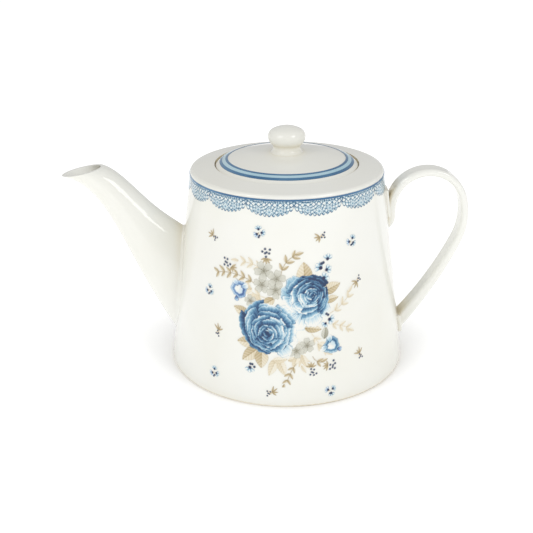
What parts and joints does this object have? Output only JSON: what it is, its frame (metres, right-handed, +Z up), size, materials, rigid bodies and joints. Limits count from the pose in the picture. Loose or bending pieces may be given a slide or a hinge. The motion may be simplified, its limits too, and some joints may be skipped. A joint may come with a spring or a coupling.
{
  "type": "teapot",
  "caption": "Tapered porcelain teapot with an upswept spout, band handle and lift-off domed lid, printed with a blue lace border and a flower bouquet.",
  "frame": {"origin": "on the pot's axis, at the plane its foot ring stands on", "axes": "+Z up along the pot's axis, +X from the pot towards the handle, so the spout points along -X"},
  "size_m": [0.2325, 0.1396, 0.1394],
  "materials": {
    "pot_porcelain": "glossy clear glaze",
    "lid_porcelain": "glossy clear glaze",
    "dark_blue_enamel": "glossy, printed and fired on",
    "pale_blue_enamel": "glossy, printed and fired on",
    "lace_blue_enamel": "glossy, printed and fired on",
    "flower_enamels": "glossy, printed and fired on, in blues, greys and tans"
  },
  "bodies": {
    "pot": {"pot_body": "pot_porcelain", "spout": "pot_porcelain", "handle": "pot_porcelain", "shoulder_line_transfer": "dark_blue_enamel", "lace_border_transfer": "lace_blue_enamel", "front_bouquet_transfer": "flower_enamels", "back_bouquet_transfer": "flower_enamels", "sprig_transfers": "flower_enamels"},
    "lid": {"lid": "lid_porcelain", "lid_knob": "lid_porcelain", "lid_outer_line_transfer": "dark_blue_enamel", "lid_band_transfer": "pale_blue_enamel", "lid_inner_line_transfer": "dark_blue_enamel"}
  },
  "joints": [
    {"name": "lid_lift", "type": "slide", "parent": "pot", "child": "lid", "axis": [0, 0, 1], "range_m": [0, 0.06]}
  ]
}
